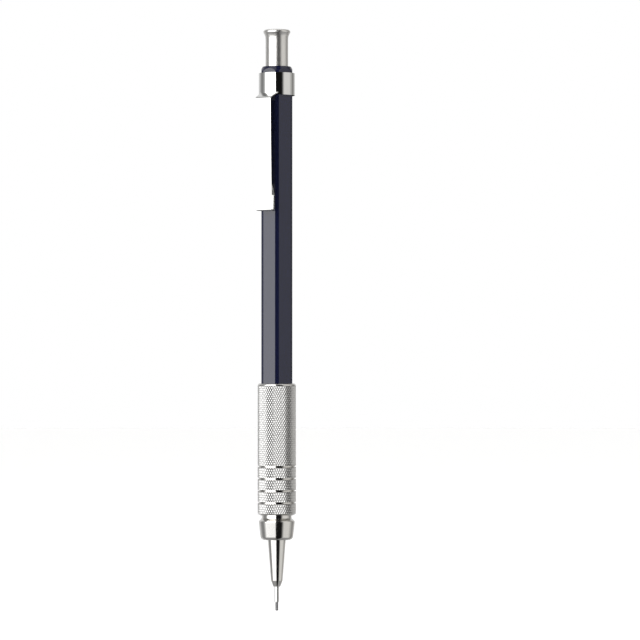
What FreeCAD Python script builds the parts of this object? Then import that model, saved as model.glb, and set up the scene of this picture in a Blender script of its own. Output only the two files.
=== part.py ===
import FreeCAD, Part
import math
import os
import re

import Sketcher
from FreeCAD import Vector

# Drafting pencil for 0.7 mm leads: a hexagonal barrel with chamfered corners, a metal grip,
# a turned nose with a fixed lead sleeve, a push-on pocket clip and a push cap.
# The axis is +Z, from the writing tip to the cap. The origin is the open end of the lead
# sleeve, where the pencil meets a ruler or a template. The clip faces -Y.

# Driving sizes in millimetres: alias, value, what it measures.
SIZES = [
    ("lead_diameter", 0.7, "writing lead"),
    ("lead_length", 40.0, "part-used writing lead"),
    ("lead_exposed", 2.2, "lead beyond the sleeve"),
    ("lead_point", 0.12, "chamfer worn on the lead's tip"),
    ("spare_lead_length", 60.0, "new lead, as kept in the reservoir"),
    ("running_gap", 0.025, "radial gap between pieces that slide on each other"),
    ("seat_gap", 0.02, "gap left where a piece rests loosely on another"),
    ("sleeve_diameter", 1.1, "outside of the lead sleeve"),
    ("sleeve_exposed", 4.0, "sleeve in front of the nose"),
    ("sleeve_shoulder", 0.18, "height of the sleeve's shoulder, where the nose grips it"),
    ("nose_tip_diameter", 1.8, "front face of the nose"),
    ("nose_chamfer", 1.5, "length of the nose's front chamfer"),
    ("cone_front_diameter", 2.95, "cone behind that chamfer"),
    ("cone_rear_diameter", 4.6, "cone where it meets the collar"),
    ("cone_length", 10.5, "cone, from its chamfer to the collar"),
    ("collar_front_diameter", 8.2, "collar at its front face, before rounding"),
    ("collar_rear_diameter", 9.3, "collar at its widest"),
    ("collar_taper", 4.7, "length of the collar's taper"),
    ("collar_shoulder", 0.85, "length of the slope from collar to neck"),
    ("collar_front_round", 0.9, "rounding of the collar's front edge"),
    ("collar_rear_round", 0.35, "rounding of the collar's widest edge"),
    ("neck_diameter", 7.6, "neck behind the collar"),
    ("neck_length", 0.75, "neck in front of the grip"),
    ("bushing_wall", 0.6, "wall of the bushing under its thread"),
    ("thread_length", 3.6, "thread inside the nose"),
    ("brake_diameter", 2.0, "rubber brake in the nose"),
    ("brake_length", 2.5, "rubber brake"),
    ("brake_setback", 0.8, "nose metal between sleeve and brake"),
    ("grip_diameter", 9.8, "over the grip's surface"),
    ("grip_length", 33.75, "grip sleeve"),
    ("grip_chamfer", 0.45, "chamfer on the grip's front edge"),
    ("grip_round", 0.5, "rounding of the grip's rear edge"),
    ("groove_start", 3.2, "grip's front end to the first ring groove"),
    ("groove_pitch", 3.1, "from one ring groove to the next"),
    ("groove_width", 0.5, "ring groove at its mouth"),
    ("groove_depth", 0.28, "ring groove"),
    ("spigot_diameter", 7.0, "barrel's spigot inside the grip"),
    ("flange_height", 0.5, "bushing's flange, beyond its thread"),
    ("flange_length", 0.6, "bushing's flange, along the axis"),
    ("bushing_seat", 7.4, "bushing pressed into the barrel"),
    ("barrel_flats", 7.93, "across the barrel's wide flats"),
    ("barrel_edge_chamfer", 0.58, "set-back of each chamfered barrel corner"),
    ("barrel_length", 81.45, "barrel behind the grip"),
    ("reservoir_gap", 0.3, "radial gap between the reservoir and the barrel's bore"),
    ("rim_diameter", 7.3, "barrel's rear face"),
    ("rim_length", 1.2, "length of the cone turned on the barrel's rear end"),
    ("clip_sheet", 0.3, "thickness of the clip's sheet"),
    ("clip_ring_height", 5.7, "ring of the clip, along the barrel"),
    ("clip_ring_setback", 1.7, "barrel's rear face to the clip's ring"),
    ("clip_width", 4.4, "arm of the clip"),
    ("clip_reach", 29.8, "ring's front edge to the clip's foot"),
    ("clip_stand_off", 7.3, "axis to the arm's outer face, at its root"),
    ("clip_foot_stand_off", 6.7, "axis to the arm's outer face, at its foot"),
    ("clip_step", 0.06, "ring's front edge to the underside of the shoulder"),
    ("clip_shoulder_slope", 25.0, "slope of the shoulder towards the tip, in degrees"),
    ("clip_bend", 0.95, "outer radius of the shoulder's bend"),
    ("clip_root_flare", 1.5, "radius in the corner between the shoulder's sides and the ring"),
    ("clip_fold", 0.35, "outer radius of the foot's bends"),
    ("clip_foot_gap", 0.05, "between the folded foot and the barrel's flat"),
    ("clip_hem", 4.3, "straight part of the fold, along the flat"),
    ("clip_hem_slope", 2.3, "length of the fold's slope back to the arm"),
    ("clip_hem_width", 3.4, "width of the fold where it meets the flat"),
    ("button_travel", 3.5, "stroke of the push cap"),
    ("clutch_travel", 2.0, "the clutch ring's part of that stroke"),
    ("stroke_margin", 0.9, "room left in front of the pushed chuck"),
    ("chuck_front_diameter", 2.0, "front face of the jaws"),
    ("chuck_head_diameter", 2.7, "widest part of the jaws"),
    ("chuck_nose_length", 1.0, "front slope of the jaws"),
    ("chuck_head_length", 0.6, "widest part of the jaws, along the axis"),
    ("chuck_taper_length", 3.4, "taper that the clutch ring closes"),
    ("chuck_stem_diameter", 1.9, "stem behind the jaws"),
    ("jaw_room", 0.15, "radial room for the jaws in the nose"),
    ("chuck_slit", 0.3, "width of the three slits between the jaws"),
    ("chuck_slit_length", 13.0, "length of those slits"),
    ("clutch_seat", 2.34, "where the clutch ring sits, behind the taper's front end"),
    ("clutch_wall", 0.6, "wall of the clutch ring"),
    ("clutch_length", 2.0, "clutch ring"),
    ("tube_reach", 1.16, "mechanism tube in front of the grip's front face"),
    ("tube_wall", 0.4, "wall of the mechanism tube"),
    ("tube_length", 13.0, "mechanism tube"),
    ("tube_lip", 1.2, "front wall of the mechanism tube"),
    ("spring_diameter", 3.3, "outside of the return spring"),
    ("spring_gap", 0.15, "radial gap between the spring and its tube"),
    ("spring_wire", 0.35, "wire of the return spring"),
    ("spring_turns", 8.0, "turns of the return spring"),
    ("connector_boss_length", 6.5, "connector inside the mechanism tube"),
    ("connector_flange_length", 2.5, "connector's flange"),
    ("connector_spigot_length", 5.0, "connector inside the reservoir"),
    ("passage_gap", 0.25, "radial gap around the lead in the connector"),
    ("funnel_lip", 0.5, "wall left around the mouth of the connector's funnel"),
    ("stem_seat", 5.0, "chuck's stem pressed into the connector"),
    ("reservoir_diameter", 4.8, "outside of the lead reservoir"),
    ("reservoir_bore", 3.8, "bore of the lead reservoir"),
    ("reservoir_setback", 3.0, "barrel's rear face to the reservoir's end"),
    ("ferrule_spigot", 6.0, "eraser ferrule inside the reservoir"),
    ("ferrule_floor", 1.2, "ferrule's floor under the eraser"),
    ("ferrule_cup", 4.5, "ferrule's cup around the eraser"),
    ("ferrule_wall", 0.35, "sheet of the ferrule"),
    ("eraser_room", 0.7, "from the eraser's end to the push cap's end wall"),
    ("eraser_round", 0.4, "rounding of the eraser's end"),
    ("cap_wall", 0.475, "wall of the push cap"),
    ("cap_exposed", 9.5, "push cap behind the barrel"),
    ("cap_depth", 6.0, "push cap inside the barrel"),
    ("cap_top", 1.1, "thickness of the push cap's end"),
    ("cap_flare", 0.56, "how far the cap's end flares out"),
    ("cap_flare_length", 1.7, "length of the cap's flare"),
    ("cap_rim", 0.7, "cap behind its flare"),
    ("cap_rim_round", 0.55, "rounding of the cap's rear edge"),
    ("cap_gap", 0.15, "radial gap between the push cap and the barrel"),
    ("overtravel", 2.0, "room in front of the pushed cap"),
    ("spring_preload_gap", 0.4, "room left behind the tube by the pushed connector"),
]

# Places along the axis and sizes that follow from the driving ones.
DERIVED = {
    "lead_front": "-lead_exposed",
    "nose_front": "sleeve_exposed",
    "cone_front": "nose_front + nose_chamfer",
    "collar_front": "cone_front + cone_length",
    "collar_rear": "collar_front + collar_taper",
    "neck_front": "collar_rear + collar_shoulder",
    "grip_front": "neck_front + neck_length",
    "grip_rear": "grip_front + grip_length",
    "barrel_rear": "grip_rear + barrel_length",
    "tube_front": "grip_front - tube_reach",
    "tube_rear": "tube_front + tube_length",
    "clutch_front": "tube_front - clutch_length",
    "clutch_stop": "clutch_front - clutch_travel - seat_gap",
    "taper_front": "clutch_front - clutch_seat",
    "taper_rear": "taper_front + chuck_taper_length",
    "chuck_widest": "taper_front - chuck_head_length",
    "chuck_front": "chuck_widest - chuck_nose_length",
    "brake_rear": "chuck_front - button_travel - stroke_margin",
    "brake_front": "brake_rear - brake_length",
    "sleeve_rear": "brake_front - brake_setback",
    "thread_front": "grip_front - thread_length",
    "spigot_front": "grip_front + flange_length",
    "bushing_rear": "spigot_front + bushing_seat",
    "spring_front": "tube_front + tube_lip",
    "flange_front": "tube_rear + button_travel + spring_preload_gap",
    "flange_rear": "flange_front + connector_flange_length",
    "spring_rear": "flange_front - connector_boss_length",
    "connector_rear": "flange_rear + connector_spigot_length",
    "chuck_rear": "spring_rear + stem_seat",
    "reservoir_rear": "barrel_rear - reservoir_setback",
    "ferrule_front": "reservoir_rear - ferrule_spigot",
    "ferrule_rear": "eraser_front + ferrule_cup",
    "eraser_front": "reservoir_rear + ferrule_floor",
    "eraser_rear": "cap_rear - cap_top - eraser_room",
    "cap_front": "barrel_rear - cap_depth",
    "cap_rear": "barrel_rear + cap_exposed",
    "flare_rear": "cap_rear - cap_rim",
    "flare_front": "flare_rear - cap_flare_length",
    "cap_well_front": "cap_front - button_travel - overtravel",
    "lead_bore": "(lead_diameter / 2 + running_gap)",
    "sleeve_outer": "(sleeve_diameter / 2)",
    "sleeve_seat_outer": "(sleeve_outer + sleeve_shoulder)",
    "stem": "(chuck_stem_diameter / 2)",
    "taper_fall": "(chuck_head_diameter / 2 - stem) / chuck_taper_length",
    "clutch_inner": "(chuck_head_diameter / 2 - clutch_seat * taper_fall + running_gap)",
    "clutch_outer": "(clutch_inner + clutch_wall)",
    "tube_inner": "(spring_diameter / 2 + spring_gap)",
    "tube_outer": "(tube_inner + tube_wall)",
    "thread_outer": "(tube_outer + bushing_wall)",
    "reservoir_outer": "(reservoir_diameter / 2)",
    "reservoir_inner": "(reservoir_bore / 2)",
    "eraser_outer": "(reservoir_outer - ferrule_wall)",
    "cap_inner": "(reservoir_outer + running_gap)",
    "cap_outer": "(cap_inner + cap_wall)",
    "flare_outer": "(cap_outer + cap_flare)",
    "barrel_corner_radius": "barrel_flats / sqrt(3)",
    "barrel_flat_half": "barrel_corner_radius / 2 - barrel_edge_chamfer",
    "barrel_edge_radius": "sqrt(pow(barrel_flats / 2; 2) + pow(barrel_flat_half; 2))",
    "clip_bore_radius": "barrel_edge_radius + seat_gap",
    "clip_ring_radius": "clip_bore_radius + clip_sheet",
    "clip_ring_rear": "barrel_rear - clip_ring_setback",
    "clip_ring_front": "clip_ring_rear - clip_ring_height",
    "clip_foot": "clip_ring_front - clip_reach",
    "clip_hem_inner": "barrel_flats / 2 + clip_foot_gap",
    "clip_hem_rear": "clip_foot + clip_hem",
}

doc = FreeCAD.newDocument("drafting_pencil")
sheet = doc.addObject("Spreadsheet::Sheet", "Sizes")
for row, (alias, number, meaning) in enumerate(SIZES, start=1):
    sheet.set(f"A{row}", alias)
    sheet.set(f"B{row}", str(number))
    sheet.set(f"C{row}", meaning)
    sheet.setAlias(f"B{row}", alias)
doc.recompute()
ALIASES = {alias for alias, number, meaning in SIZES}


def bound(expression):
    """The expression in terms of the sheet's cells alone."""

    def spell_out(match):
        word = match[0]
        if word in DERIVED:
            return "(" + bound(DERIVED[word]) + ")"
        return "Sizes." + word if word in ALIASES else word

    return re.sub(r"[a-z][a-z_]*", spell_out, expression)


def size(expression):
    """The expression's value in millimetres."""
    return float(sheet.evalExpression(bound(expression)))


def tie(feature, **expressions):
    """Bind properties of a feature to the sheet."""
    for name, expression in expressions.items():
        feature.setExpression(name, bound(expression))


def place(piece, height, across="0"):
    """Bind where a piece stands: its height on the axis and its distance across it."""
    piece.setExpression("Placement.Base.x", bound(across))
    piece.setExpression("Placement.Base.z", bound(height))


def new_body(name):
    body = doc.addObject("PartDesign::Body", name + "_body")
    body.Label = name
    return body


def sketch_on(body, role, name, height="0"):
    """A sketch on one of the body's own origin planes, lifted by a bound height."""
    sketch = body.newObject("Sketcher::SketchObject", name)
    plane = next(f for f in body.Origin.OriginFeatures if f.Role == role)
    sketch.AttachmentSupport = [(plane, "")]
    sketch.MapMode = "FlatFace"
    sketch.setExpression("AttachmentOffset.Base.z", bound(height))
    return sketch


def dimension(sketch, kind, item, end, expression):
    """A distance from the sketch's origin, bound to the sheet."""
    number = sketch.addConstraint(
        Sketcher.Constraint(kind, -1, 1, item, end, size(expression))
    )
    sketch.setExpression(f"Constraints[{number}]", bound(expression))


def tangent_arc(start, end, direction):
    """The arc from start to end that leaves start along direction."""
    chord = end - start
    normal = Vector(-direction.y, direction.x, 0).normalize()
    radius = chord.Length**2 / (2 * chord.dot(normal))
    centre = start + normal * radius
    turn = (start, end) if radius > 0 else (end, start)
    angles = [math.atan2(p.y - centre.y, p.x - centre.x) for p in turn]
    return Part.ArcOfCircle(Part.Circle(centre, Vector(0, 0, 1), abs(radius)), *angles)


def outline(sketch, points):
    """A closed outline through (across, along) expressions, each dimensioned.

    A third item, "curve", makes the side that ends at that point an arc which leaves
    the side before it without a corner.
    """
    first = len(sketch.Geometry)
    corners = [Vector(size(p[0]), size(p[1]), 0) for p in points]
    count = len(points)
    starts, curved = [], []
    heading = None
    for number in range(count):
        start, end = corners[number], corners[(number + 1) % count]
        is_curve = len(points[(number + 1) % count]) == 3
        side = tangent_arc(start, end, heading) if is_curve else Part.LineSegment(start, end)
        item = sketch.addGeometry(side, False)
        forward = (sketch.Geometry[item].StartPoint - start).Length < 1e-6
        starts.append(1 if forward else 2)
        curved.append(is_curve)
        heading = end - start
    for number in range(count):
        after = (number + 1) % count
        joint = "Tangent" if curved[after] else "Coincident"
        sketch.addConstraint(
            Sketcher.Constraint(
                joint, first + number, 3 - starts[number], first + after, starts[after]
            )
        )
    for number, point in enumerate(points):
        dimension(sketch, "DistanceX", first + number, starts[number], point[0])
        dimension(sketch, "DistanceY", first + number, starts[number], point[1])


def circle(sketch, diameter):
    """A circle on the axis with a bound diameter."""
    item = sketch.addGeometry(Part.Circle(Vector(), Vector(0, 0, 1), size(diameter) / 2), False)
    sketch.addConstraint(Sketcher.Constraint("Coincident", item, 3, -1, 1))
    number = sketch.addConstraint(Sketcher.Constraint("Diameter", item, size(diameter)))
    sketch.setExpression(f"Constraints[{number}]", bound(diameter))


def checked(body, removes=False):
    """Recompute, and see that the newest feature did its work."""
    before = body.Shape.Volume if removes and not body.Shape.isNull() else None
    doc.recompute()
    feature = body.Tip
    if {"Invalid", "Error"} & set(feature.State) or feature.Shape.isNull():
        raise RuntimeError(f"{body.Label}: {feature.Name} failed")
    if before is not None and not feature.Shape.Volume < before - 1e-6:
        raise RuntimeError(f"{body.Label}: {feature.Name} removed nothing")
    return feature


def about_axis(body, feature_kind, name, points):
    """Turn a profile, given as (radius, height), about the axis."""
    sketch = sketch_on(body, "XZ_Plane", name + "_profile")
    outline(sketch, points)
    doc.recompute()
    turn = body.newObject(f"PartDesign::{feature_kind}", name)
    turn.Profile = sketch
    turn.ReferenceAxis = (sketch, ["V_Axis"])
    turn.Angle = 360
    return checked(body, removes=feature_kind == "Groove")


def turned(name, points):
    """A piece turned from one profile."""
    body = new_body(name)
    about_axis(body, "Revolution", name + "_turning", points)
    return body


def pad(body, name, sketch, length, symmetric=False, reversed_way=False):
    feature = body.newObject("PartDesign::Pad", name)
    feature.Profile = sketch
    feature.SideType = "Symmetric" if symmetric else "One side"
    feature.Reversed = reversed_way
    tie(feature, Length=length)
    return checked(body)


def pocket(body, name, sketch, length, reversed_way=False):
    feature = body.newObject("PartDesign::Pocket", name)
    feature.Profile = sketch
    feature.Reversed = reversed_way
    tie(feature, Length=length)
    return checked(body, removes=True)


def rims(shape, radius, height):
    """Names of the circular edges about the axis with this radius at this height."""
    found = []
    for number, edge in enumerate(shape.Edges, start=1):
        curve = edge.Curve
        if not isinstance(curve, Part.Circle):
            continue
        on_axis = Vector(curve.Center.x, curve.Center.y, 0).Length < 1e-4
        level = abs(curve.Center.z - size(height)) < 1e-3
        if on_axis and level and abs(curve.Radius - size(radius)) < 1e-3:
            found.append(f"Edge{number}")
    return found


def dress(body, kind, name, edges, **expressions):
    """A fillet or chamfer on named edges of the newest feature."""
    if not edges:
        raise RuntimeError(f"{body.Label}: no edge for {name}")
    base = body.Tip
    feature = body.newObject(f"PartDesign::{kind}", name)
    feature.Base = (base, edges)
    tie(feature, **expressions)
    return checked(body)


# ---- Nose: cone, lead sleeve and brake ---------------------------------------------------


def make_nose_cone():
    """Turned nose: cone, collar and neck outside, and stepped bores from tip to thread."""
    thread, clutch = "thread_outer + running_gap", "clutch_outer + running_gap"
    thread_floor = "thread_front - 10 * seat_gap"
    jaws, mouth = "chuck_head_diameter / 2 + jaw_room", "chuck_front_diameter / 2 + jaw_room"
    body = turned(
        "nose_cone",
        [
            ("sleeve_seat_outer", "nose_front"),
            ("nose_tip_diameter / 2", "nose_front"),
            ("cone_front_diameter / 2", "cone_front"),
            ("cone_rear_diameter / 2", "collar_front"),
            ("collar_front_diameter / 2", "collar_front"),
            ("collar_rear_diameter / 2", "collar_rear"),
            ("neck_diameter / 2", "neck_front"),
            ("neck_diameter / 2", "grip_front"),
            (thread, "grip_front"),
            (thread, thread_floor),
            (clutch, thread_floor),
            (clutch, "clutch_stop"),
            (jaws, "clutch_stop"),
            (jaws, "brake_rear + stroke_margin / 2 + chuck_nose_length"),
            (mouth, "brake_rear + stroke_margin / 2"),
            (mouth, "brake_rear"),
            ("brake_diameter / 2", "brake_rear"),
            ("brake_diameter / 2", "brake_front"),
            ("lead_bore + running_gap", "brake_front"),
            ("lead_bore + running_gap", "sleeve_rear"),
            ("sleeve_seat_outer", "sleeve_rear"),
        ],
    )
    front = rims(body.Shape, "collar_front_diameter / 2", "collar_front")
    dress(body, "Fillet", "collar_front_edge", front, Radius="collar_front_round")
    rear = rims(body.Shape, "collar_rear_diameter / 2", "collar_rear")
    dress(body, "Fillet", "collar_rear_edge", rear, Radius="collar_rear_round")
    return body


def make_lead_sleeve():
    """Thin steel tube that guides the lead past a ruler's edge."""
    return turned(
        "lead_sleeve",
        [
            ("lead_bore", "0"),
            ("sleeve_outer", "0"),
            ("sleeve_outer", "nose_front"),
            ("sleeve_seat_outer", "nose_front"),
            ("sleeve_seat_outer", "sleeve_rear"),
            ("lead_bore", "sleeve_rear"),
        ],
    )


def make_lead_brake():
    """Rubber ring that keeps the lead from sliding back when the chuck opens."""
    mouth = "(lead_bore + brake_diameter / 2) / 2"
    return turned(
        "lead_brake",
        [
            (mouth, "brake_front"),
            ("brake_diameter / 2", "brake_front"),
            ("brake_diameter / 2", "brake_rear"),
            (mouth, "brake_rear"),
            ("lead_bore", "brake_rear - brake_length / 4"),
            ("lead_bore", "brake_front + brake_length / 4"),
        ],
    )


# ---- Barrel, grip and the bushing that joins them to the nose ----------------------------


def make_barrel():
    """Moulded barrel: hexagon with chamfered corners, a spigot for the grip, a stepped bore."""
    body = new_body("barrel")
    hexagon = sketch_on(body, "XY_Plane", "barrel_section", "grip_rear")
    corner, half_flat = "barrel_corner_radius", "barrel_flats / 2"
    outline(
        hexagon,
        [
            (corner, "0"),
            (f"{corner} / 2", half_flat),
            (f"-{corner} / 2", half_flat),
            (f"-{corner}", "0"),
            (f"-{corner} / 2", f"-{half_flat}"),
            (f"{corner} / 2", f"-{half_flat}"),
        ],
    )
    doc.recompute()
    pad(body, "barrel_hexagon", hexagon, "barrel_length")
    corners = [
        f"Edge{number}"
        for number, edge in enumerate(body.Shape.Edges, start=1)
        if abs(edge.tangentAt(edge.FirstParameter).z) > 0.99
    ]
    dress(body, "Chamfer", "barrel_corners", corners, Size="barrel_edge_chamfer")

    spigot = sketch_on(body, "XY_Plane", "spigot_section", "grip_rear")
    circle(spigot, "spigot_diameter")
    doc.recompute()
    pad(body, "spigot", spigot, "grip_rear - spigot_front", reversed_way=True)

    cap_well, bore = "cap_outer + cap_gap", "reservoir_outer + reservoir_gap"
    about_axis(
        body,
        "Groove",
        "barrel_bores",
        [
            ("0", "spigot_front"),
            ("thread_outer", "spigot_front"),
            ("thread_outer", "bushing_rear"),
            (bore, "bushing_rear"),
            (bore, "cap_well_front"),
            (cap_well, "cap_well_front"),
            (cap_well, "barrel_rear"),
            ("0", "barrel_rear"),
        ],
    )
    outside = "barrel_edge_radius + 1"
    about_axis(
        body,
        "Groove",
        "barrel_rim",
        [
            ("rim_diameter / 2", "barrel_rear"),
            ("barrel_edge_radius", "barrel_rear - rim_length"),
            (outside, "barrel_rear - rim_length"),
            (outside, "barrel_rear + 1"),
            ("rim_diameter / 2", "barrel_rear + 1"),
        ],
    )
    return body


def make_grip_sleeve():
    """Metal grip with ring grooves near its front end."""
    bore = "spigot_diameter / 2"
    body = turned(
        "grip_sleeve",
        [
            (bore, "grip_front"),
            ("grip_diameter / 2", "grip_front"),
            ("grip_diameter / 2", "grip_rear"),
            (bore, "grip_rear"),
        ],
    )
    front = rims(body.Shape, "grip_diameter / 2", "grip_front")
    dress(body, "Chamfer", "grip_front_edge", front, Size="grip_chamfer")
    rear = rims(body.Shape, "grip_diameter / 2", "grip_rear")
    dress(body, "Fillet", "grip_rear_edge", rear, Radius="grip_round")
    for number in range(4):
        middle = f"grip_front + groove_start + {number} * groove_pitch"
        mouth, floor = "grip_diameter / 2", "grip_diameter / 2 - groove_depth"
        about_axis(
            body,
            "Groove",
            f"ring_groove_{number + 1}",
            [
                (mouth + " + 1", f"{middle} - groove_width / 2"),
                (mouth, f"{middle} - groove_width / 2"),
                (floor, f"{middle} - groove_width / 4"),
                (floor, f"{middle} + groove_width / 4"),
                (mouth, f"{middle} + groove_width / 2"),
                (mouth + " + 1", f"{middle} + groove_width / 2"),
            ],
        )
    return body


def make_threaded_bushing():
    """Brass bushing pressed into the barrel: it carries the nose and the mechanism tube."""
    return turned(
        "threaded_bushing",
        [
            ("tube_outer", "thread_front"),
            ("thread_outer", "thread_front"),
            ("thread_outer", "grip_front"),
            ("thread_outer + flange_height", "grip_front"),
            ("thread_outer + flange_height", "spigot_front"),
            ("thread_outer", "spigot_front"),
            ("thread_outer", "bushing_rear"),
            ("tube_outer", "bushing_rear"),
        ],
    )


# ---- Clutch mechanism --------------------------------------------------------------------


def make_mechanism_tube():
    """Brass tube: its lip seats the clutch ring in front and the spring behind."""
    hole = "stem + 4 * running_gap"
    return turned(
        "mechanism_tube",
        [
            (hole, "tube_front"),
            ("tube_outer", "tube_front"),
            ("tube_outer", "tube_rear"),
            ("tube_inner", "tube_rear"),
            ("tube_inner", "spring_front"),
            (hole, "spring_front"),
        ],
    )


def make_chuck():
    """Brass chuck with three sprung jaws."""
    body = turned(
        "chuck",
        [
            ("lead_bore", "chuck_front"),
            ("chuck_front_diameter / 2", "chuck_front"),
            ("chuck_head_diameter / 2", "chuck_widest"),
            ("chuck_head_diameter / 2", "taper_front"),
            ("stem", "taper_rear"),
            ("stem", "chuck_rear"),
            ("lead_bore", "chuck_rear"),
        ],
    )
    slit = sketch_on(body, "XY_Plane", "slit_section", "chuck_front")
    outline(
        slit,
        [
            ("-chuck_slit / 2", "0"),
            ("chuck_slit / 2", "0"),
            ("chuck_slit / 2", "chuck_head_diameter"),
            ("-chuck_slit / 2", "chuck_head_diameter"),
        ],
    )
    doc.recompute()
    cut = pocket(body, "slit", slit, "chuck_slit_length", reversed_way=True)
    one_slit = body.Shape.Volume
    slits = body.newObject("PartDesign::PolarPattern", "slits")
    slits.Originals = [cut]
    slits.Axis = (slit, ["N_Axis"])
    slits.Angle = 360
    slits.Occurrences = 3
    body.Tip = slits
    checked(body)
    if not body.Shape.Volume < one_slit:
        raise RuntimeError("chuck: the slits were not repeated")
    return body


def make_clutch_ring():
    """Brass ring that closes the jaws when the spring draws the chuck back."""
    return turned(
        "clutch_ring",
        [
            ("clutch_inner", "clutch_front"),
            ("clutch_outer", "clutch_front"),
            ("clutch_outer", "tube_front"),
            ("clutch_inner", "tube_front"),
        ],
    )


def make_return_spring():
    """Steel compression spring between the tube's lip and the connector."""
    body = new_body("return_spring")
    section = sketch_on(body, "XZ_Plane", "wire_section")
    radius, height = "(spring_diameter - spring_wire) / 2", "spring_front + spring_wire / 2"
    centre = Vector(size(radius), size(height), 0)
    wire = section.addGeometry(Part.Circle(centre, Vector(0, 0, 1), size("spring_wire") / 2), False)
    dimension(section, "DistanceX", wire, 3, radius)
    dimension(section, "DistanceY", wire, 3, height)
    number = section.addConstraint(Sketcher.Constraint("Diameter", wire, size("spring_wire")))
    section.setExpression(f"Constraints[{number}]", bound("spring_wire"))
    doc.recompute()
    coil = body.newObject("PartDesign::AdditiveHelix", "coil")
    coil.Profile = section
    coil.ReferenceAxis = (section, ["V_Axis"])
    coil.Mode = "pitch-height-angle"
    tie(
        coil,
        Height="spring_rear - spring_front - spring_wire",
        Pitch="(spring_rear - spring_front - spring_wire) / spring_turns",
    )
    checked(body)
    return body


def make_chuck_connector():
    """Moulded connector: it holds the chuck in front and the reservoir behind."""
    boss, passage = "tube_inner - 2 * running_gap", "lead_diameter / 2 + passage_gap"
    return turned(
        "chuck_connector",
        [
            ("stem", "spring_rear"),
            (boss, "spring_rear"),
            (boss, "flange_front"),
            ("reservoir_outer", "flange_front"),
            ("reservoir_outer", "flange_rear"),
            ("reservoir_inner", "flange_rear"),
            ("reservoir_inner", "connector_rear"),
            ("reservoir_inner - funnel_lip", "connector_rear"),
            (passage, "flange_rear"),
            (passage, "chuck_rear"),
            ("stem", "chuck_rear"),
        ],
    )


def make_lead_reservoir():
    """Plastic tube that stores spare leads and carries the cap's push to the chuck."""
    return turned(
        "lead_reservoir",
        [
            ("reservoir_inner", "flange_rear"),
            ("reservoir_outer", "flange_rear"),
            ("reservoir_outer", "reservoir_rear"),
            ("reservoir_inner", "reservoir_rear"),
        ],
    )


def cylinder(name, diameter, length, height, across="0"):
    rod = doc.addObject("Part::Cylinder", name)
    tie(rod, Radius=f"({diameter}) / 2", Height=length)
    place(rod, height, across)
    return rod


def make_writing_lead():
    """The lead in use, from the sleeve back through brake, chuck and connector."""
    rod = cylinder("lead_rod", "lead_diameter", "lead_length", "lead_front")
    doc.recompute()
    lead = doc.addObject("Part::Chamfer", "lead_with_point")
    lead.Label = "writing_lead"
    lead.Base = rod
    tip = rims(rod.Shape, "lead_diameter / 2", "lead_front")[0]
    worn = size("lead_point")
    lead.Edges = [(int(tip[4:]), worn, worn)]
    return lead


def make_spare_leads():
    """Three new leads standing on the connector, against the reservoir's wall."""
    leads = []
    for number in range(3):
        name = f"spare_lead_{number + 1}"
        rod = cylinder(name, "lead_diameter", "spare_lead_length", "connector_rear")
        reach = "(reservoir_inner - lead_diameter / 2 - seat_gap)"
        rod.setExpression("Placement.Base.x", bound(f"{reach} * cos({number * 120} deg)"))
        rod.setExpression("Placement.Base.y", bound(f"{reach} * sin({number * 120} deg)"))
        leads.append(rod)
    group = doc.addObject("Part::Compound", "spare_lead_group")
    group.Label = "spare_leads"
    group.Links = leads
    return group


# ---- Eraser and push cap -----------------------------------------------------------------


def make_eraser_ferrule():
    """Drawn metal cup that plugs the reservoir and holds the eraser."""
    outside = "reservoir_inner - running_gap"
    return turned(
        "eraser_ferrule",
        [
            (outside, "ferrule_front"),
            (outside, "reservoir_rear"),
            ("reservoir_outer", "reservoir_rear"),
            ("reservoir_outer", "ferrule_rear"),
            ("eraser_outer", "ferrule_rear"),
            ("eraser_outer", "eraser_front"),
            ("0", "eraser_front"),
            ("0", "eraser_front - ferrule_wall"),
            (f"{outside} - ferrule_wall", "eraser_front - ferrule_wall"),
            (f"{outside} - ferrule_wall", "ferrule_front"),
        ],
    )


def make_eraser():
    body = turned(
        "eraser",
        [
            ("0", "eraser_front"),
            ("eraser_outer", "eraser_front"),
            ("eraser_outer", "eraser_rear"),
            ("0", "eraser_rear"),
        ],
    )
    end = rims(body.Shape, "eraser_outer", "eraser_rear")
    dress(body, "Fillet", "eraser_end", end, Radius="eraser_round")
    return body


def make_push_cap():
    """Drawn cap, flared to a rounded end that the thumb pushes."""
    body = turned(
        "push_cap",
        [
            ("cap_inner", "cap_front"),
            ("cap_outer", "cap_front"),
            ("cap_outer", "flare_front"),
            ("flare_outer", "flare_rear", "curve"),
            ("flare_outer", "cap_rear"),
            ("0", "cap_rear"),
            ("0", "cap_rear - cap_top"),
            ("cap_inner", "cap_rear - cap_top"),
        ],
    )
    rear = rims(body.Shape, "flare_outer", "cap_rear")
    dress(body, "Fillet", "cap_rear_edge", rear, Radius="cap_rim_round")
    return body


# ---- Pocket clip -------------------------------------------------------------------------


def bend_edges(shape, across, along):
    """Names of the edges across the clip's sheet at this distance and height."""
    found = []
    for number, edge in enumerate(shape.Edges, start=1):
        middle = edge.CenterOfMass
        level = abs(middle.y - size(across)) < 1e-3 and abs(middle.z - size(along)) < 1e-3
        if level and abs(edge.tangentAt(edge.FirstParameter).x) > 0.99:
            found.append(f"Edge{number}")
    return found


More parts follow.
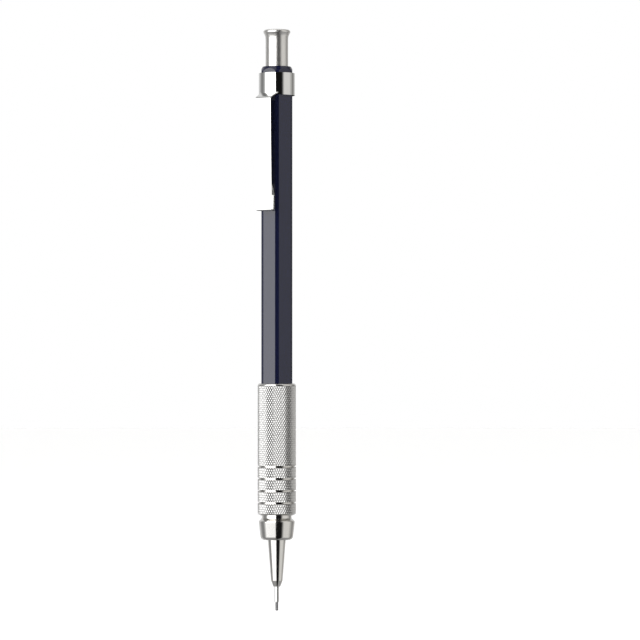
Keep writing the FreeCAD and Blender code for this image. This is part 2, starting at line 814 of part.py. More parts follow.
def make_pocket_clip():
    """One piece of sheet: a ring, a sloping shoulder, the arm, and a foot folded inwards."""
    body = new_body("pocket_clip")
    ring, root, foot = "clip_ring_radius", "clip_stand_off", "clip_foot_stand_off"
    inside_ring = "0.85 * clip_bore_radius"
    fold_back = "clip_hem_inner + clip_sheet"
    fold_end = "clip_foot_stand_off - clip_sheet - 5 * seat_gap"
    fall = "tan(clip_shoulder_slope)"
    step = "clip_ring_front + clip_step"
    shoulder = f"{step} - ({root} - {ring}) * {fall} + clip_sheet"
    under_shoulder = f"{step} - ({root} - clip_sheet - {ring}) * {fall}"
    rise = f"({ring} - {inside_ring}) * {fall}"
    side = sketch_on(body, "YZ_Plane", "arm_side")
    outline(
        side,
        [
            (f"-({inside_ring})", f"{step} + clip_sheet + {rise}"),
            (f"-({inside_ring})", f"{step} + {rise}"),
            (f"-({root} - clip_sheet)", under_shoulder),
            (f"-({foot} - clip_sheet)", "clip_foot + clip_sheet"),
            (f"-({fold_back})", "clip_foot + clip_sheet"),
            (f"-({fold_back})", "clip_hem_rear"),
            (f"-({fold_end})", "clip_hem_rear + clip_hem_slope"),
            (f"-({fold_end})", "clip_hem_rear + clip_hem_slope + 1.6 * clip_sheet"),
            ("-clip_hem_inner", "clip_hem_rear + clip_sheet / 3"),
            ("-clip_hem_inner", "clip_foot"),
            (f"-{foot}", "clip_foot"),
            (f"-{root}", shoulder),
        ],
    )
    doc.recompute()
    pad(body, "arm", side, "clip_width", symmetric=True)
    outer = bend_edges(body.Shape, f"-{root}", shoulder)
    dress(body, "Fillet", "shoulder_bend", outer, Radius="clip_bend")
    inner = bend_edges(body.Shape, f"-({root} - clip_sheet)", under_shoulder)
    dress(body, "Fillet", "shoulder_bend_inside", inner, Radius="clip_bend - clip_sheet")
    toe = bend_edges(body.Shape, f"-{foot}", "clip_foot")
    heel = bend_edges(body.Shape, "-clip_hem_inner", "clip_foot")
    dress(body, "Fillet", "fold_bends", toe + heel, Radius="clip_fold")

    ring_face = sketch_on(body, "XY_Plane", "ring_section", "clip_ring_front")
    circle(ring_face, "2 * clip_ring_radius")
    doc.recompute()
    pad(body, "ring", ring_face, "clip_ring_height")
    bore = sketch_on(body, "XY_Plane", "bore_section", "clip_ring_front")
    circle(bore, "2 * clip_bore_radius")
    doc.recompute()
    pocket(body, "ring_bore", bore, "clip_ring_height", reversed_way=True)
    corners = []
    for number, edge in enumerate(body.Shape.Edges, start=1):
        middle = edge.CenterOfMass
        across = abs(abs(middle.x) - size("clip_width") / 2) < 1e-3
        if across and abs(math.hypot(middle.x, middle.y) - size(ring)) < 1e-3:
            corners.append(f"Edge{number}")
    dress(body, "Fillet", "root_flare", corners, Radius="clip_root_flare")

    fold = sketch_on(body, "XY_Plane", "fold_sides", "clip_foot - clip_sheet")
    for way in ("", "-"):
        outline(
            fold,
            [
                (f"{way}clip_hem_width / 2", "-clip_hem_inner + clip_foot_gap / 2"),
                (f"{way}clip_hem_width / 2", f"-({fold_back})"),
                (f"{way}clip_width / 2", f"-({fold_end})"),
                (f"{way}(clip_width / 2 + 1)", f"-({fold_end})"),
                (f"{way}(clip_width / 2 + 1)", "-clip_hem_inner + clip_foot_gap / 2"),
            ],
        )
    doc.recompute()
    fold_height = "clip_hem + clip_hem_slope + 3 * clip_sheet"
    pocket(body, "narrowed_fold", fold, fold_height, reversed_way=True)
    return body


pieces = [
    make_writing_lead(),
    make_lead_sleeve(),
    make_nose_cone(),
    make_lead_brake(),
    make_threaded_bushing(),
    make_grip_sleeve(),
    make_barrel(),
    make_pocket_clip(),
    make_mechanism_tube(),
    make_chuck(),
    make_clutch_ring(),
    make_return_spring(),
    make_chuck_connector(),
    make_lead_reservoir(),
    make_spare_leads(),
    make_eraser_ferrule(),
    make_eraser(),
    make_push_cap(),
]
doc.recompute()

for item in doc.Objects:
    if {"Invalid", "Error"} & set(item.State):
        raise RuntimeError(f"{item.Label} is {item.State}")
for piece in pieces:
    if piece.Shape.isNull() or not piece.Shape.isValid():
        raise RuntimeError(f"{piece.Label} has no valid shape")

os.makedirs("parts", exist_ok=True)
for piece in pieces:
    piece.Shape.exportStep(f"parts/{piece.Label}.step")
    print(f"{piece.Label}: {len(piece.Shape.Solids)} solid(s), {piece.Shape.Volume:.2f} mm3")
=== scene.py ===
import math

import bmesh
import bpy
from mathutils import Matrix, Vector


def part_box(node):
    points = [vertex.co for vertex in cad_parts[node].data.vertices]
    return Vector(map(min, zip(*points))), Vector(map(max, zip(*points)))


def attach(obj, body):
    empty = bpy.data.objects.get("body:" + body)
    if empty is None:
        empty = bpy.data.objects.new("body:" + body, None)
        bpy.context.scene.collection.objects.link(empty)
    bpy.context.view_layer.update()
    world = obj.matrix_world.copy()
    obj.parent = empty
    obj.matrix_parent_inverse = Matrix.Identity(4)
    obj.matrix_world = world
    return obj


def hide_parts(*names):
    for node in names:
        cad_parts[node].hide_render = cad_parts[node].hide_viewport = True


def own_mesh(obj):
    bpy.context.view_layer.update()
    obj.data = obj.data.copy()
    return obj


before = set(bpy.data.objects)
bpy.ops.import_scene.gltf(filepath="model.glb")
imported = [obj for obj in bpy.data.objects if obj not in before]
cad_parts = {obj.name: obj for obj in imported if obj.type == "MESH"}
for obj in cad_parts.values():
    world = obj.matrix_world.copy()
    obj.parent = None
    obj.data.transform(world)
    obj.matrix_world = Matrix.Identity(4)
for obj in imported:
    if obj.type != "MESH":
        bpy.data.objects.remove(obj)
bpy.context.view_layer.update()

MM = 0.001

# ---- Studio ------------------------------------------------------------------------------

CAMERA_AZIMUTH = math.radians(29.5)
TO_CAMERA = Vector((math.sin(CAMERA_AZIMUTH), -math.cos(CAMERA_AZIMUTH), 0))
CAMERA_RIGHT = Vector((math.cos(CAMERA_AZIMUTH), math.sin(CAMERA_AZIMUTH), 0))
CAMERA_DISTANCE = 0.90
CAMERA_HEIGHT = 0.0624
PICTURE_PIXELS, MM_PER_PIXEL = 640, 0.257
PICTURE_WIDTH = PICTURE_PIXELS * MM_PER_PIXEL * MM
PICTURE_CENTRE = CAMERA_RIGHT * 11.1 * MM + Vector((0, 0, 72.4 * MM))
FLOOR_HEIGHT = -0.034
STUDIO_RADIUS = 4.0

# Light round the object: angle in degrees from the camera, positive to its right, and radiance.
LIGHT_RING = [
    (-180, 0.03), (-175, 0.03), (-172, 0.9), (-150, 0.8), (-135, 0.7), (-124, 0.4), (-109, 0.3),
    (-99, 0.3), (-90, 0.5), (-80, 1.0), (-71, 4.0), (-11, 4.0), (-7, 0.008), (31, 0.008),
    (37, 0.12), (44, 0.6), (50, 0.9), (90, 0.9), (96, 0.65), (104, 0.65), (115, 0.3), (128, 0.3),
    (148, 0.7), (156, 0.7), (172, 0.9), (175, 0.03), (180, 0.03),
]
# Degrees above the horizon, and the most radiance at that height.
LIGHT_HEIGHT = [
    (-90, 0.3), (-50, 0.35), (-30, 0.5), (-22, 1.2), (-11, 1.5), (-7, 4.0), (36, 4.0), (46, 1.6),
    (60, 1.3), (72, 0.4), (90, 0.2),
]
RING_WHITE = (1.0, 1.0, 1.0)
RING_WARM = (1.0, 0.985, 0.955)
WARM_FROM, WARM_TO = 40, 150
BRIGHTEST = max(radiance for angle, radiance in LIGHT_RING)

PAPER = (0.9, 0.9, 0.9)
PAPER_ROUGHNESS = 0.9
FLOOR_GLOW = 0.24
WALL_GLOW = 1.0
WALL_HEIGHT = 6
ROUND_SEGMENTS = 96
SENSOR_WIDTH = 36
NEAREST_SEEN, FARTHEST_SEEN = 0.05, 50
TOP_LIGHT_HEIGHT, TOP_LIGHT_SIZE, TOP_LIGHT_POWER = 1.6, 1.2, 3.0


def nodes_of(tree):
    """Two short functions: one adds a node, the other links sockets."""

    def add(kind, **values):
        node = tree.nodes.new(kind)
        inputs = values.pop("inputs", {})
        for name, value in values.items():
            setattr(node, name, value)
        for name, value in inputs.items():
            node.inputs[name].default_value = value
        return node

    def link(source, target):
        tree.links.new(source, target)

    return add, link


def studio_world():
    world = bpy.data.worlds.new("studio")
    world.use_nodes = True
    tree = world.node_tree
    tree.nodes.clear()
    add, link = nodes_of(tree)
    coordinates = add("ShaderNodeTexCoord")
    angles = []
    for axis in (CAMERA_RIGHT, TO_CAMERA):
        dot = add("ShaderNodeVectorMath", operation="DOT_PRODUCT")
        link(coordinates.outputs["Generated"], dot.inputs[0])
        dot.inputs[1].default_value = axis
        angles.append(dot.outputs["Value"])
    turn = add("ShaderNodeMath", operation="ARCTAN2")
    link(angles[0], turn.inputs[0])
    link(angles[1], turn.inputs[1])
    along = add("ShaderNodeMapRange", inputs={"From Min": -math.pi, "From Max": math.pi})
    link(turn.outputs[0], along.inputs["Value"])

    def ramp(stops, factor):
        """Colour ramp through (place, colour) stops."""
        node = add("ShaderNodeValToRGB")
        elements = node.color_ramp.elements
        while len(elements) > 1:
            elements.remove(elements[-1])
        for number, (place, colour) in enumerate(stops):
            element = elements[0] if number == 0 else elements.new(place)
            element.position = place
            element.color = (*colour, 1)
        link(factor, node.inputs["Fac"])
        return node.outputs["Color"]

    ring_stops = []
    for angle, radiance in LIGHT_RING:
        tint = RING_WARM if WARM_FROM <= angle <= WARM_TO else RING_WHITE
        colour = [channel * radiance / BRIGHTEST for channel in tint]
        ring_stops.append(((angle + 180) / 360, colour))
    split = add("ShaderNodeSeparateXYZ")
    link(coordinates.outputs["Generated"], split.inputs[0])
    upward = add("ShaderNodeMapRange", inputs={"From Min": -1.0, "From Max": 1.0})
    link(split.outputs["Z"], upward.inputs["Value"])
    height_stops = [
        ((math.sin(math.radians(angle)) + 1) / 2, [most / BRIGHTEST] * 3)
        for angle, most in LIGHT_HEIGHT
    ]
    darker = add("ShaderNodeMix", data_type="RGBA", blend_type="DARKEN")
    darker.inputs["Factor"].default_value = 1.0
    link(ramp(ring_stops, along.outputs["Result"]), darker.inputs["A"])
    link(ramp(height_stops, upward.outputs["Result"]), darker.inputs["B"])
    background = add("ShaderNodeBackground", inputs={"Strength": BRIGHTEST})
    link(darker.outputs["Result"], background.inputs["Color"])
    output = add("ShaderNodeOutputWorld")
    link(background.outputs[0], output.inputs["Surface"])
    bpy.context.scene.world = world


def stage_material(name, colour, glow):
    material = bpy.data.materials.new(name)
    material.use_nodes = True
    shader = material.node_tree.nodes["Principled BSDF"]
    shader.inputs["Base Color"].default_value = (*colour, 1)
    shader.inputs["Roughness"].default_value = PAPER_ROUGHNESS
    shader.inputs["Specular IOR Level"].default_value = 0.0
    shader.inputs["Emission Color"].default_value = (1, 1, 1, 1)
    shader.inputs["Emission Strength"].default_value = glow
    return material


def studio_stage():
    """A pale floor, and a pale wall far behind that only the camera sees."""
    disc = bmesh.new()
    bmesh.ops.create_circle(
        disc, cap_ends=True, segments=ROUND_SEGMENTS, radius=STUDIO_RADIUS
    )
    drum = bmesh.new()
    bmesh.ops.create_cone(
        drum, cap_ends=False, segments=ROUND_SEGMENTS, radius1=STUDIO_RADIUS,
        radius2=STUDIO_RADIUS, depth=WALL_HEIGHT,
    )
    stage = []
    for name, shape, height, colour, glow in (
        ("floor", disc, FLOOR_HEIGHT, PAPER, FLOOR_GLOW),
        ("wall", drum, FLOOR_HEIGHT + WALL_HEIGHT / 2, (0, 0, 0), WALL_GLOW),
    ):
        mesh = bpy.data.meshes.new(name)
        shape.to_mesh(mesh)
        shape.free()
        mesh.materials.append(stage_material(name + "_paper", colour, glow))
        part = bpy.data.objects.new(name, mesh)
        part.location.z = height
        part.visible_glossy = False
        bpy.context.scene.collection.objects.link(part)
        stage.append(part)
    floor, wall = stage
    wall.visible_diffuse = False
    wall.visible_shadow = False


def studio_camera():
    data = bpy.data.cameras.new("camera")
    camera = bpy.data.objects.new("camera", data)
    bpy.context.scene.collection.objects.link(camera)
    camera.location = TO_CAMERA * CAMERA_DISTANCE + Vector((0, 0, CAMERA_HEIGHT))
    aim = PICTURE_CENTRE - camera.location
    camera.rotation_euler = aim.to_track_quat("-Z", "Y").to_euler()
    data.sensor_width = SENSOR_WIDTH
    data.lens = data.sensor_width * CAMERA_DISTANCE / PICTURE_WIDTH
    data.clip_start, data.clip_end = NEAREST_SEEN, FARTHEST_SEEN
    bpy.context.scene.camera = camera


def studio_light():
    data = bpy.data.lights.new("top_light", "AREA")
    data.shape = "DISK"
    data.size = TOP_LIGHT_SIZE
    data.energy = TOP_LIGHT_POWER
    light = bpy.data.objects.new("top_light", data)
    light.location = (0, 0, TOP_LIGHT_HEIGHT)
    bpy.context.scene.collection.objects.link(light)


# ---- Materials ---------------------------------------------------------------------------

# The part of the noise's range that is spread over the whole range of roughness.
NOISE_LOW, NOISE_HIGH = 0.3, 0.7
LEAST_ROUGHNESS = 0.02
COLOUR_DETAIL, FINE_DETAIL = 3.0, 2.0
ROUGHNESS_GRAIN, ROUGHNESS_WARP = 2.3, 0.4


def surface(name, colour, metallic, roughness, spread=0.0, tint=0.04, grain=(600, 600, 600),
            bump=0.0, bump_grain=None, valley_shade=None, **sockets):
    """A Principled material whose colour, roughness and height vary with noise.

    The noise lies in the piece's own space. spread is how far the roughness strays and tint
    how far the colour does. bump is the height of the relief in millimetres. grain and
    bump_grain are the noise's frequencies along X, Y and Z, per metre. The argument for painted
    shade in the valleys is (inner radius, outer radius, share of the colour left at the inner
    radius), measured from the Z axis; it darkens the colour towards the inner radius.
    """
    material = bpy.data.materials.new(name)
    material.use_nodes = True
    tree = material.node_tree
    add, link = nodes_of(tree)
    shader = tree.nodes["Principled BSDF"]
    shader.inputs["Metallic"].default_value = metallic
    for socket, value in sockets.items():
        shader.inputs[socket.replace("_", " ")].default_value = value
    coordinates = add("ShaderNodeTexCoord")

    def noise(frequency, detail, distortion=0.0):
        stretch = add("ShaderNodeMapping")
        stretch.inputs["Scale"].default_value = frequency
        link(coordinates.outputs["Object"], stretch.inputs["Vector"])
        field = add(
            "ShaderNodeTexNoise",
            inputs={"Scale": 1.0, "Detail": detail, "Distortion": distortion},
        )
        link(stretch.outputs[0], field.inputs["Vector"])
        return field.outputs["Fac"]

    variation = noise(grain, COLOUR_DETAIL)
    mix = add("ShaderNodeMix", data_type="RGBA")
    link(variation, mix.inputs["Factor"])
    mix.inputs["A"].default_value = [channel * (1 - tint) for channel in colour] + [1]
    mix.inputs["B"].default_value = [min(1.0, channel * (1 + tint)) for channel in colour] + [1]
    tone = mix.outputs["Result"]
    # Painted shade: the colour darkens towards the knurl's inner radius, where the valleys lie.
    if valley_shade:
        flat = add("ShaderNodeVectorMath", operation="MULTIPLY")
        link(coordinates.outputs["Object"], flat.inputs[0])
        flat.inputs[1].default_value = (1, 1, 0)
        radius = add("ShaderNodeVectorMath", operation="LENGTH")
        link(flat.outputs[0], radius.inputs[0])
        share = add("ShaderNodeMapRange", interpolation_type="SMOOTHSTEP")
        for socket, value in zip(("From Min", "From Max", "To Min"), valley_shade):
            share.inputs[socket].default_value = value
        link(radius.outputs["Value"], share.inputs["Value"])
        shade = add("ShaderNodeVectorMath", operation="SCALE")
        link(tone, shade.inputs[0])
        link(share.outputs["Result"], shade.inputs["Scale"])
        tone = shade.outputs["Vector"]
    link(tone, shader.inputs["Base Color"])
    level = add("ShaderNodeMapRange")
    level.inputs["From Min"].default_value = NOISE_LOW
    level.inputs["From Max"].default_value = NOISE_HIGH
    level.inputs["To Min"].default_value = max(LEAST_ROUGHNESS, roughness - spread)
    level.inputs["To Max"].default_value = roughness + spread
    finer = [ROUGHNESS_GRAIN * frequency for frequency in grain]
    link(noise(finer, FINE_DETAIL, ROUGHNESS_WARP), level.inputs["Value"])
    link(level.outputs["Result"], shader.inputs["Roughness"])
    if bump:
        height = add("ShaderNodeBump", inputs={"Strength": 1.0, "Distance": bump * MM})
        link(noise(bump_grain or grain, FINE_DETAIL), height.inputs["Height"])
        link(height.outputs["Normal"], shader.inputs["Normal"])
    return material


CHROME = (0.66, 0.65, 0.63)
TURNED = (120, 120, 9000)
EVEN = (2500, 2500, 2500)
# Inner and outer radius of the knurl's valleys, and the share of the colour left in them: painted
# shade in the valleys.
KNURL_VALLEY_SHADE = (4.79 * MM, 4.9 * MM, 0.42)
SOFT_EDGES = {
    "barrel": 0.07 * MM, "pocket_clip": 0.05 * MM, "nose_cone": 0.06 * MM, "push_cap": 0.05 * MM,
}
SOFT_SEGMENTS = 2
SOFT_ANGLE = math.radians(28)

MATERIALS = {
    "barrel": surface(
        "navy_plastic", (0.006, 0.0075, 0.026), 0.0, 0.09, spread=0.02, tint=0.12,
        grain=(900, 900, 250), bump=0.0006, bump_grain=(1400, 1400, 300), IOR=1.5,
    ),
    "nose_cone": surface(
        "turned_plating", CHROME, 1.0, 0.13, spread=0.03, grain=TURNED,
        bump=0.0005, bump_grain=(60, 60, 14000),
    ),
    "push_cap": surface(
        "cap_plating", CHROME, 0.95, 0.29, spread=0.01, grain=TURNED,
        bump=0.0002, bump_grain=(60, 60, 6000),
    ),
    "pocket_clip": surface(
        "clip_plating", (0.68, 0.68, 0.67), 1.0, 0.07, spread=0.02, grain=(1200, 1200, 300),
        bump=0.0003, bump_grain=(3000, 3000, 500),
    ),
    "lead_sleeve": surface(
        "drawn_steel", (0.5, 0.5, 0.5), 1.0, 0.22, spread=0.05, grain=(4000, 4000, 300),
        bump=0.0004, bump_grain=(9000, 9000, 500),
    ),
    "eraser_ferrule": surface(
        "ferrule_sheet", (0.62, 0.61, 0.58), 1.0, 0.22, spread=0.06, grain=TURNED,
        bump=0.0005, bump_grain=(80, 80, 9000),
    ),
    "return_spring": surface(
        "spring_wire", (0.5, 0.5, 0.5), 1.0, 0.25, spread=0.06, grain=EVEN, bump=0.0006,
    ),
    "lead_brake": surface(
        "brake_rubber", (0.012, 0.012, 0.012), 0.0, 0.7, spread=0.1, tint=0.2, grain=EVEN,
        bump=0.004,
    ),
    "eraser": surface(
        "eraser_vinyl", (0.82, 0.82, 0.79), 0.0, 0.6, spread=0.1, tint=0.05, grain=EVEN,
        bump=0.004, bump_grain=(4000, 4000, 4000), Subsurface_Weight=0.1,
        Subsurface_Scale=0.0005,
    ),
    "chuck_connector": surface(
        "moulded_white", (0.72, 0.72, 0.69), 0.0, 0.4, spread=0.06, grain=EVEN, bump=0.001,
    ),
    "lead_reservoir": surface(
        "extruded_grey", (0.42, 0.43, 0.45), 0.0, 0.35, spread=0.06, grain=(3000, 3000, 200),
        bump=0.001, bump_grain=(5000, 5000, 200),
    ),
    "writing_lead": surface(
        "graphite", (0.14, 0.14, 0.145), 0.5, 0.38, spread=0.1, tint=0.25, grain=(5000, 5000, 5000),
        bump=0.002, bump_grain=(9000, 9000, 3000),
    ),
    # The knurled metal gets painted shade in its valleys, set by the distance from the Z axis.
    "grip_sleeve": surface(
        "knurled_metal", (0.735, 0.73, 0.72), 0.9, 0.31, spread=0.03, grain=EVEN,
        bump=0.0004, bump_grain=(4000, 4000, 4000), valley_shade=KNURL_VALLEY_SHADE,
    ),
    "grip_turned": surface(
        "groove_polish", CHROME, 1.0, 0.12, spread=0.03, grain=TURNED,
        bump=0.0004, bump_grain=(60, 60, 14000),
    ),
    "threaded_bushing": surface(
        "turned_brass", (0.58, 0.42, 0.17), 1.0, 0.2, spread=0.05, grain=TURNED,
        bump=0.0006, bump_grain=(80, 80, 12000),
    ),
}
for shared, source in (
    ("spare_leads", "writing_lead"),
    ("chuck", "threaded_bushing"),
    ("clutch_ring", "threaded_bushing"),
    ("mechanism_tube", "threaded_bushing"),
):
    MATERIALS[shared] = MATERIALS[source]


def finish_node(name):
    """Give a CAD node its material and, where SOFT_EDGES lists it, softened edges."""
    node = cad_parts[name]
    node.data.materials.clear()
    node.data.materials.append(MATERIALS[name])
    if name in SOFT_EDGES:
        edge = node.modifiers.new("soft_edges", "BEVEL")
        edge.width = SOFT_EDGES[name]
        edge.segments = SOFT_SEGMENTS
        edge.limit_method = "ANGLE"
        edge.angle_limit = SOFT_ANGLE
        edge.harden_normals = True


# ---- Pieces with surface detail ----------------------------------------------------------

SMOOTH_ANGLE = 25
WELD_DISTANCE = 1e-7


def mesh_piece(
    name, vertices, faces, body, materials, replaced, smooth_angle=SMOOTH_ANGLE, slots=()
):
    """Make a closed mesh that replaces a CAD node.

    slots are (first face, face after the last, material number).
    """
    mesh = bpy.data.meshes.new(name)
    mesh.from_pydata(vertices, [], faces)
    mesh.update()
    for material in materials:
        mesh.materials.append(material)
    for first, last, number in slots:
        for polygon in mesh.polygons[first:last]:
            polygon.material_index = number
    piece = bpy.data.objects.new(name, mesh)
    bpy.context.scene.collection.objects.link(piece)
    clean = bmesh.new()
    clean.from_mesh(mesh)
    bmesh.ops.remove_doubles(clean, verts=clean.verts, dist=WELD_DISTANCE)
    bmesh.ops.recalc_face_normals(clean, faces=clean.faces)
    for edge in clean.edges:
        if len(edge.link_faces) == 2:
            edge.smooth = edge.calc_face_angle(0) < math.radians(smooth_angle)
    for face in clean.faces:
        face.smooth = True
    clean.to_mesh(mesh)
    clean.free()
    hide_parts(replaced)
    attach(piece, body)
    return piece


def join_rings(faces, first, rows, count):
    """Add the faces between rows + 1 rings of count vertices each, from vertex first on."""
    for row in range(rows):
        low, high = first + row * count, first + (row + 1) * count
        for number in range(count):
            after = (number + 1) % count
            faces.append((low + number, low + after, high + after, high + number))


def revolve(vertices, faces, profile, count):
    """Add a strip of rings through (radius, height) points."""
    first = len(vertices)
    step = 2 * math.pi / count
    for radius, height in profile:
        vertices.extend(
            (radius * math.cos(number * step), radius * math.sin(number * step), height)
            for number in range(count)
        )
    join_rings(faces, first, len(profile) - 1, count)


GRIP_LOW, GRIP_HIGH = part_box("grip_sleeve")
GRIP_RADIUS = GRIP_HIGH.x
GRIP_BORE = 3.5 * MM
GROOVE_START, GROOVE_PITCH = 3.2 * MM, 3.1 * MM
GROOVE_COUNT = 4
GROOVE_WIDTH, GROOVE_DEPTH = 0.5 * MM, 0.28 * MM
GROOVE_SLOPE = 0.04 * MM
GRIP_CHAMFER, GRIP_ROUND = 0.45 * MM, 0.5 * MM
GRIP_SLOPE = 0.05 * MM
ROUND_STEP = 15
KNURL_COUNT = 50
KNURL_HEIGHT = 1.07 * MM
KNURL_DEPTH = 0.11 * MM
# Width of a diamond's flat top as a share of the diamond.
KNURL_TOP = 0.36


def knurl_band(vertices, faces, low, high):
    """Add a band of raised diamonds, with two points for each diamond round both its ends.

    Neighbouring rows are half a diamond apart. Short bands get fewer and taller rows than
    KNURL_HEIGHT asks for, because the denoised picture keeps those.
    """
    step = 2 * math.pi / KNURL_COUNT
    rows = max(2, 2 * round((high - low) / KNURL_HEIGHT))
    half = (high - low) / rows
    floor = GRIP_RADIUS - KNURL_DEPTH

    def point(column, row, radius):
        return (
            radius * math.cos(column * step), radius * math.sin(column * step), low + row * half
        )

    for row in range(rows + 1):
        for number in range(KNURL_COUNT):
            centre = number + (0.5 if row % 2 else 0.0)
            corners = [
                (centre - 0.5, row), (centre, row - 1), (centre + 0.5, row), (centre, row + 1)
            ]
            top = [
                (centre + (c - centre) * KNURL_TOP, row + (r - row) * KNURL_TOP)
                for c, r in corners
            ]
            first = len(vertices)
            if 0 < row < rows:
                vertices.extend(point(c, r, floor) for c, r in corners)
                vertices.extend(point(c, r, GRIP_RADIUS) for c, r in top)
                faces.append((first + 4, first + 5, first + 6, first + 7))
                for side in range(4):
                    after = (side + 1) % 4
                    faces.append((first + side, first + after, first + 4 + after, first + 4 + side))
                continue
            keep = [0, 3, 2] if row == 0 else [0, 1, 2]
            vertices.extend(point(*corners[k], floor) for k in keep)
            vertices.extend(point(*top[k], GRIP_RADIUS) for k in keep)
            faces.append((first + 3, first + 5, first + 4))
            faces.append((first, first + 3, first + 4, first + 1))
            faces.append((first + 1, first + 4, first + 5, first + 2))
            base = len(vertices)
            vertices.extend(point(centre + side, row, floor) for side in (-0.5, 0.0, 0.5))
            faces.append((base, first + 3, first + 5, base + 1))
            faces.append((base + 1, first + 5, base + 2))


def build_grip():
    """Grip sleeve with raised diamonds between polished grooves."""
    vertices, faces = [], []
    low, high = GRIP_LOW.z, GRIP_HIGH.z
    round_start = high - GRIP_ROUND
    arc = [math.radians(angle) for angle in range(ROUND_STEP, 91, ROUND_STEP)]
    plain = KNURL_COUNT * 2
    floor = GRIP_RADIUS - KNURL_DEPTH
    knurl_low = low + GRIP_CHAMFER + GRIP_SLOPE
    knurl_high = round_start - GRIP_SLOPE
    edges = [knurl_low]
    polished = []
    bottom = GRIP_RADIUS - GROOVE_DEPTH
    for number in range(GROOVE_COUNT):
        middle = low + GROOVE_START + number * GROOVE_PITCH
        edge_low = middle - GROOVE_WIDTH / 2 - GROOVE_SLOPE
        edge_high = middle + GROOVE_WIDTH / 2 + GROOVE_SLOPE
        edges += [edge_low, edge_high]
        started = len(faces)
        revolve(vertices, faces, [
            (floor, edge_low),
            (GRIP_RADIUS, middle - GROOVE_WIDTH / 2),
            (bottom, middle - GROOVE_WIDTH / 4),
            (bottom, middle + GROOVE_WIDTH / 4),
            (GRIP_RADIUS, middle + GROOVE_WIDTH / 2),
            (floor, edge_high),
        ], plain)
        polished.append((started, len(faces), 1))
    edges.append(knurl_high)
    for band_low, band_high in zip(edges[::2], edges[1::2]):
        knurl_band(vertices, faces, band_low, band_high)
    started = len(faces)
    revolve(vertices, faces, [
        (floor, knurl_low),
        (GRIP_RADIUS, low + GRIP_CHAMFER),
        (GRIP_RADIUS - GRIP_CHAMFER, low),
        (GRIP_BORE, low),
        (GRIP_BORE, high),
        (GRIP_RADIUS - GRIP_ROUND, high),
        *[
            (
                GRIP_RADIUS - GRIP_ROUND + GRIP_ROUND * math.sin(angle),
                round_start + GRIP_ROUND * math.cos(angle),
            )
            for angle in arc
        ],
        (floor, knurl_high),
    ], plain)
    polished.append((started, len(faces), 1))
    mesh_piece(
        "knurled_grip", vertices, faces, "housing",
        [MATERIALS["grip_sleeve"], MATERIALS["grip_turned"]], "grip_sleeve", slots=polished,
    )


BUSHING_LOW, BUSHING_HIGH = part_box("threaded_bushing")
FLANGE_STEP, FLANGE_LENGTH = 0.5 * MM, 0.6 * MM
BUSHING_WALL = 0.6 * MM
THREAD_RADIUS = BUSHING_HIGH.x - FLANGE_STEP
THREAD_BORE = THREAD_RADIUS - BUSHING_WALL
THREAD_REAR = GRIP_LOW.z
THREAD_PITCH, THREAD_DEPTH = 0.6 * MM, 0.25 * MM
# Length over which the thread fades in at one end and out at the other.
THREAD_RUN = 0.5 * MM
# Depth gained over one pitch along a flank, as a multiple of the whole depth.
FLANK_SLOPE = 2.5
THREAD_SIDES = 48
ROWS_PER_THREAD, EXTRA_ROWS = 12, 2


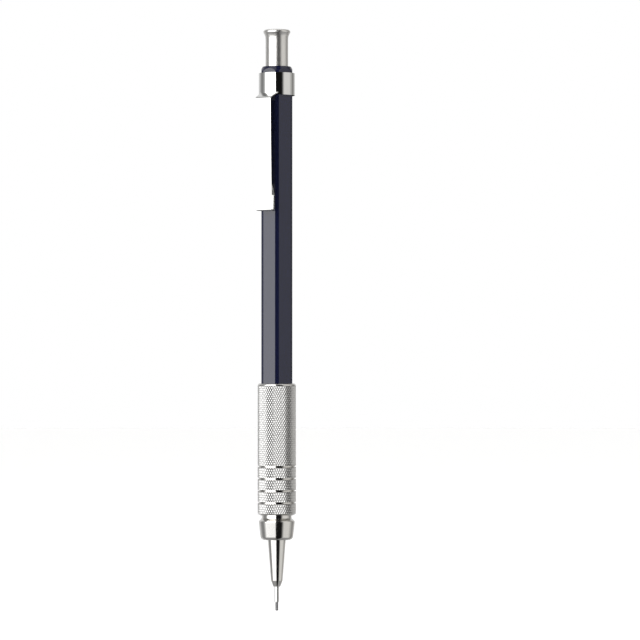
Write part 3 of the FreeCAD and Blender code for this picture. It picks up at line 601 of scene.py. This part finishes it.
def build_bushing():
    """Bushing with a real helical thread between a plain front end and its flange."""
    vertices, faces = [], []
    front, rear = BUSHING_LOW.z, THREAD_REAR
    rows = EXTRA_ROWS + round(ROWS_PER_THREAD * (rear - front) / THREAD_PITCH)
    heights = [front + (rear - front) * row / rows for row in range(rows + 1)]
    for height in heights:
        fade = min(1.0, (height - front) / THREAD_RUN, (rear - height) / THREAD_RUN)
        for number in range(THREAD_SIDES):
            turn = number / THREAD_SIDES
            phase = ((height - front) / THREAD_PITCH - turn) % 1.0
            fall = min(1.0, (0.5 - abs(phase - 0.5)) * FLANK_SLOPE)
            radius = THREAD_RADIUS - THREAD_DEPTH * fade * fall
            angle = 2 * math.pi * turn
            vertices.append((radius * math.cos(angle), radius * math.sin(angle), height))
    join_rings(faces, 0, rows, THREAD_SIDES)
    flange = BUSHING_HIGH.x
    revolve(vertices, faces, [
        (THREAD_RADIUS, rear),
        (flange, rear),
        (flange, rear + FLANGE_LENGTH),
        (THREAD_RADIUS, rear + FLANGE_LENGTH),
        (THREAD_RADIUS, BUSHING_HIGH.z),
        (THREAD_BORE, BUSHING_HIGH.z),
        (THREAD_BORE, front),
        (THREAD_RADIUS, front),
    ], THREAD_SIDES)
    mesh_piece(
        "cut_bushing", vertices, faces, "housing", [MATERIALS["threaded_bushing"]],
        "threaded_bushing",
    )


SPRING_LOW, SPRING_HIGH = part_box("return_spring")
SPRING_WIRE = 0.35 * MM
SPRING_TURNS = 8
STEPS_PER_TURN, WIRE_SIDES = 28, 10
# The end turns almost touch.
CLOSED_PITCH = SPRING_WIRE * 1.03
SPRING_SMOOTH_ANGLE = 40


def build_spring():
    """Return spring with close-wound ends, built at one fixed length; the real spring shortens as
    the button is pressed.
    """
    wire = SPRING_WIRE / 2
    radius = SPRING_HIGH.x - wire
    low, high = SPRING_LOW.z + wire, SPRING_HIGH.z - wire
    open_pitch = (high - low - 2 * CLOSED_PITCH) / (SPRING_TURNS - 2)
    steps = SPRING_TURNS * STEPS_PER_TURN
    heights = [low]
    for step in range(steps):
        closed = step < STEPS_PER_TURN or step >= steps - STEPS_PER_TURN
        heights.append(heights[-1] + (CLOSED_PITCH if closed else open_pitch) / STEPS_PER_TURN)
    vertices, faces = [], []
    for step, height in enumerate(heights):
        angle = 2 * math.pi * step / STEPS_PER_TURN
        outward = Vector((math.cos(angle), math.sin(angle), 0))
        rise = heights[min(step + 1, steps)] - heights[max(step - 1, 0)]
        run = 4 * math.pi * radius / STEPS_PER_TURN
        across = Vector((math.sin(angle) * rise, -math.cos(angle) * rise, run)).normalized()
        centre = outward * radius + Vector((0, 0, height))
        for side in range(WIRE_SIDES):
            turn = 2 * math.pi * side / WIRE_SIDES
            vertices.append(centre + (outward * math.cos(turn) + across * math.sin(turn)) * wire)
    join_rings(faces, 0, steps, WIRE_SIDES)
    faces.append(tuple(range(WIRE_SIDES)))
    faces.append(tuple(range(steps * WIRE_SIDES, (steps + 1) * WIRE_SIDES)))
    spring = mesh_piece(
        "coiled_spring", vertices, faces, "housing", [MATERIALS["return_spring"]],
        "return_spring", smooth_angle=SPRING_SMOOTH_ANGLE,
    )
    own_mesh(spring)


studio_world()
studio_stage()
studio_camera()
studio_light()
bpy.context.scene.view_settings.view_transform = "Standard"

for node_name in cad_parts:
    finish_node(node_name)
build_grip()
build_bushing()
build_spring()
